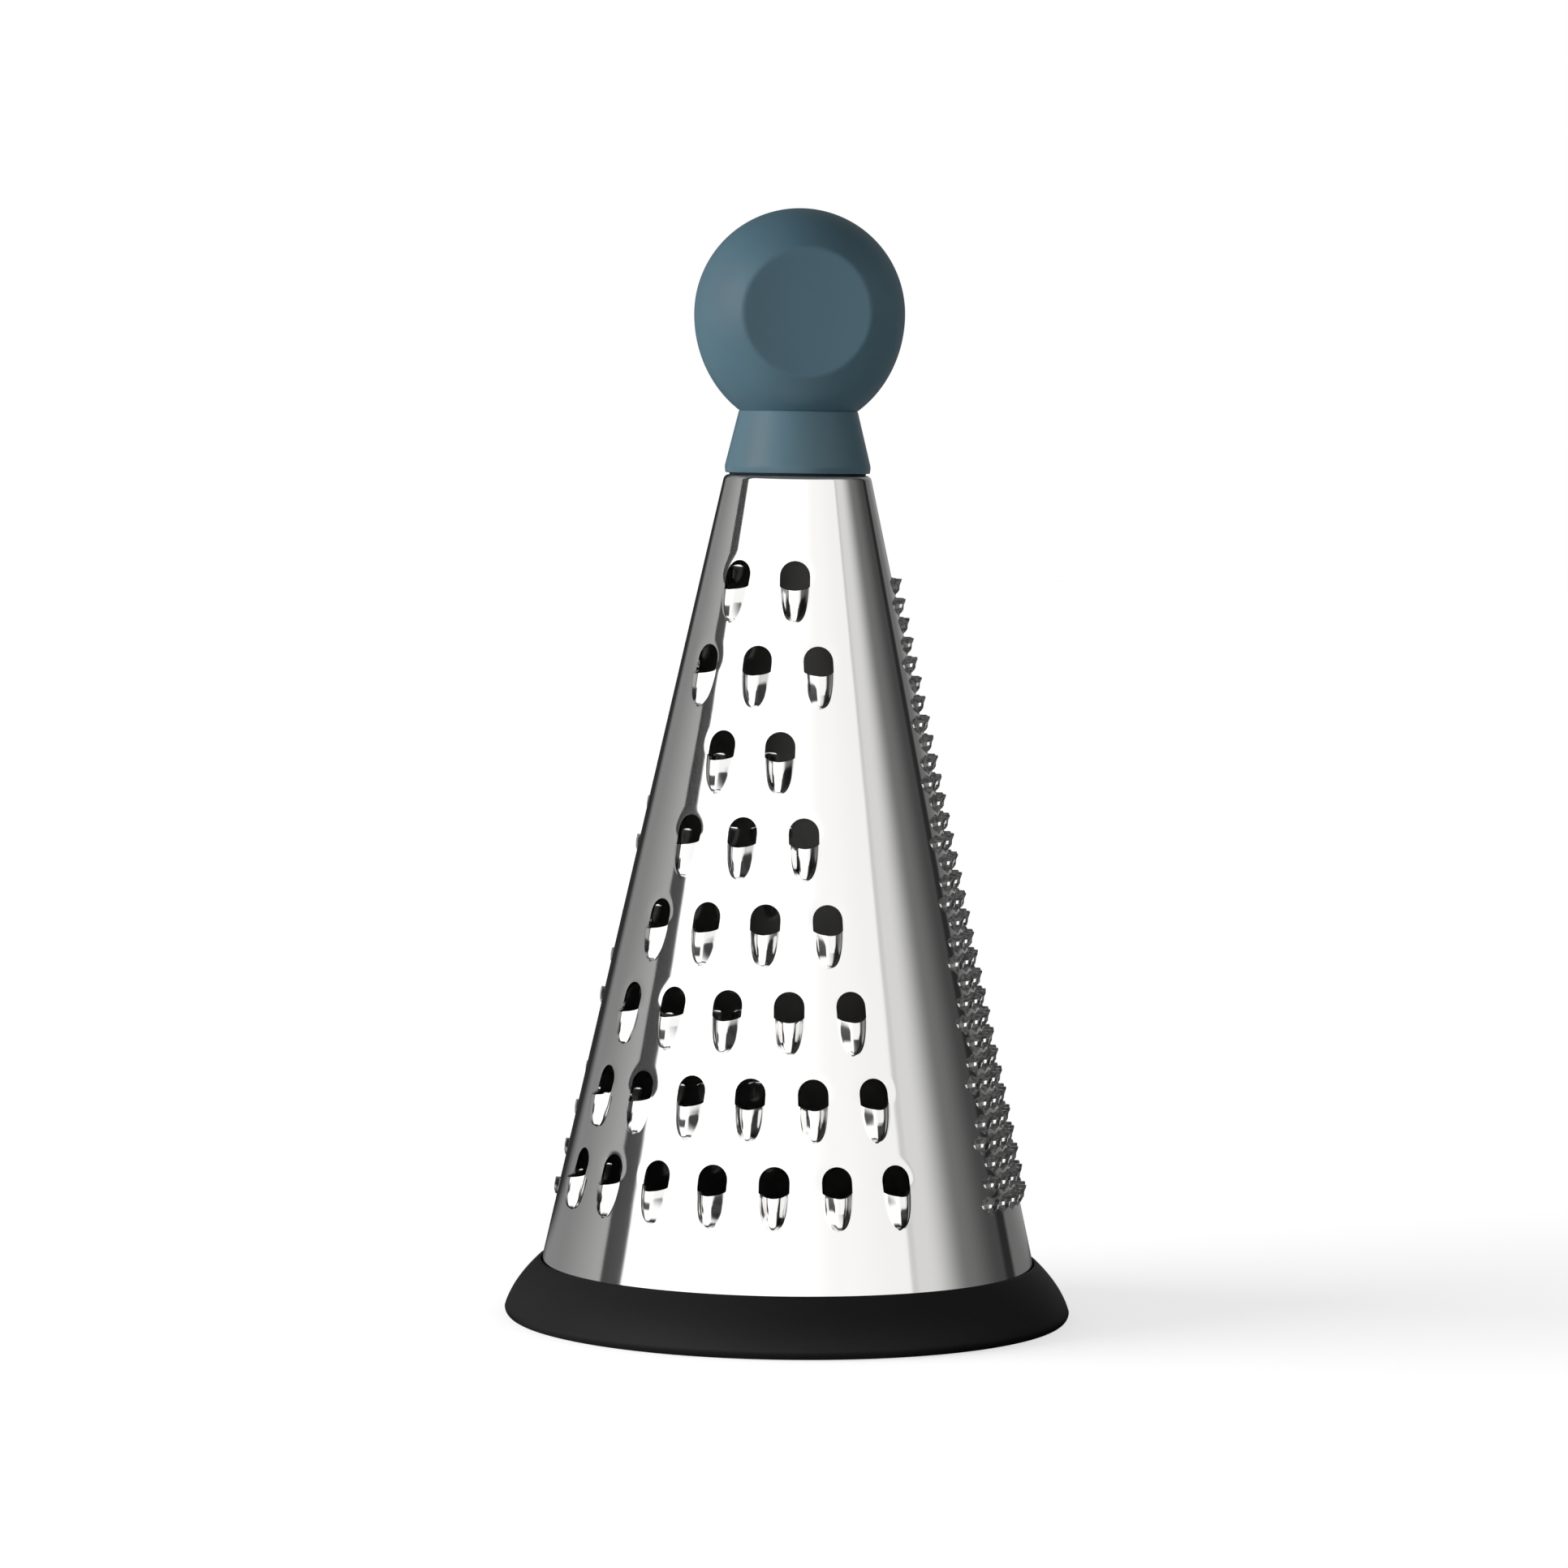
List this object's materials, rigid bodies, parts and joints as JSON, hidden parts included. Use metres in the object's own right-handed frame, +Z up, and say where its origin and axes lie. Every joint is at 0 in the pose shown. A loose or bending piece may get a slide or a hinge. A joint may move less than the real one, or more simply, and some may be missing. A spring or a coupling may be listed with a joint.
{
  "type": "cone grater",
  "caption": "Conical hand grater: a rolled steel cone with coarse, medium and rasp teeth, a rubber base ring and a dimpled ball knob on a tapered collar.",
  "frame": {"origin": "on the floor, at the middle of the base ring", "axes": "+Z up along the cone's axis, -Y towards the middle of the coarse teeth, +X to the right seen from there"},
  "size_m": [0.115, 0.115, 0.225],
  "materials": {
    "polished_steel": "mirror-polished stainless sheet with fine rolling marks",
    "ring_rubber": "matte moulded rubber",
    "plug_plastic": "plain moulded plastic",
    "collar_plastic": "satin moulded plastic, grey blue",
    "knob_plastic": "soft-touch matte plastic, grey blue",
    "screw_steel": "zinc-plated",
    "insert_brass": "turned"
  },
  "bodies": {
    "root": {"base_ring": "ring_rubber", "grating_cone": "polished_steel", "cone_plug": "plug_plastic", "seal_ring": "ring_rubber", "handle_core": "collar_plastic", "threaded_insert": "insert_brass", "screw_washer": "screw_steel", "handle_screw": "screw_steel", "knob": "knob_plastic"}
  },
  "joints": []
}
